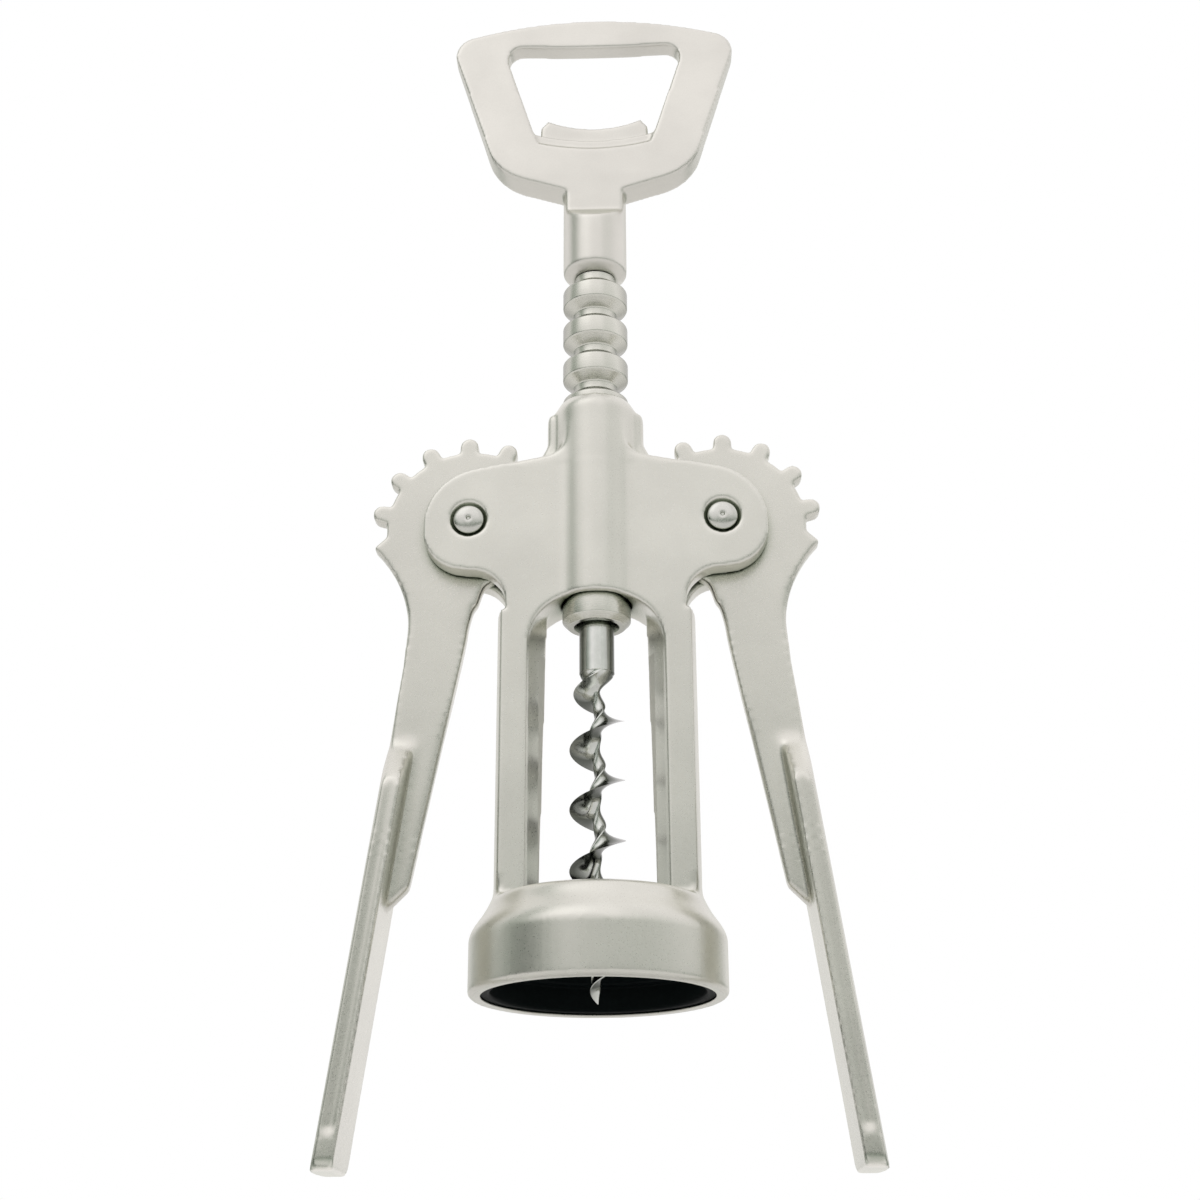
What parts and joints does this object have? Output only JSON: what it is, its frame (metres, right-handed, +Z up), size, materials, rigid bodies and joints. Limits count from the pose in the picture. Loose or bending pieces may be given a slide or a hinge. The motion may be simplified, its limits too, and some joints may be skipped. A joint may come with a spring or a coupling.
{
  "type": "wing corkscrew",
  "caption": "Wing corkscrew: a flat handle turns the worm, and geared side levers raise its ringed rack through a frame whose bell sits on a bottle's mouth.",
  "frame": {"origin": "centre of the bell's mouth, in the plane of its rim, on the worm's axis", "axes": "+Z up along the worm to the handle, +X to the right lever, -Y towards the viewer in front of the handle"},
  "size_m": [0.0894, 0.042, 0.2191],
  "materials": {
    "satin_nickel": "satin, warm grey",
    "worm_steel": "polished",
    "liner": "matte black"
  },
  "bodies": {
    "frame_body": {"frame": "satin_nickel", "bottle_collar": "liner", "right_rivet": "satin_nickel", "left_rivet": "satin_nickel"},
    "rack": {"rack_sleeve": "satin_nickel"},
    "turning_unit": {"handle": "satin_nickel", "worm": "worm_steel"},
    "right_lever": {"right_lever": "satin_nickel"},
    "left_lever": {"left_lever": "satin_nickel"}
  },
  "joints": [
    {"name": "rack_slide", "type": "slide", "parent": "frame_body", "child": "rack", "axis": [0, 0, 1], "range_m": [-0.0408, 0.0021]},
    {"name": "handle_turn", "type": "hinge", "parent": "rack", "child": "turning_unit", "pos_m": [0, 0, 0.1], "axis": [0, 0, 1], "continuous": true},
    {"name": "right_lever_pivot", "type": "hinge", "parent": "frame_body", "child": "right_lever", "pos_m": [0.0222, 0, 0.0823], "axis": [0, 1, 0], "range_deg": [-138.2, 7.3]},
    {"name": "left_lever_pivot", "type": "hinge", "parent": "frame_body", "child": "left_lever", "pos_m": [-0.0222, 0, 0.0823], "axis": [0, 1, 0], "range_deg": [-7.3, 138.2]}
  ],
  "couplings": [
    {"joint": "right_lever_pivot", "follows": "rack_slide", "rad_per_m": 59.014},
    {"joint": "left_lever_pivot", "follows": "rack_slide", "rad_per_m": -59.014}
  ]
}
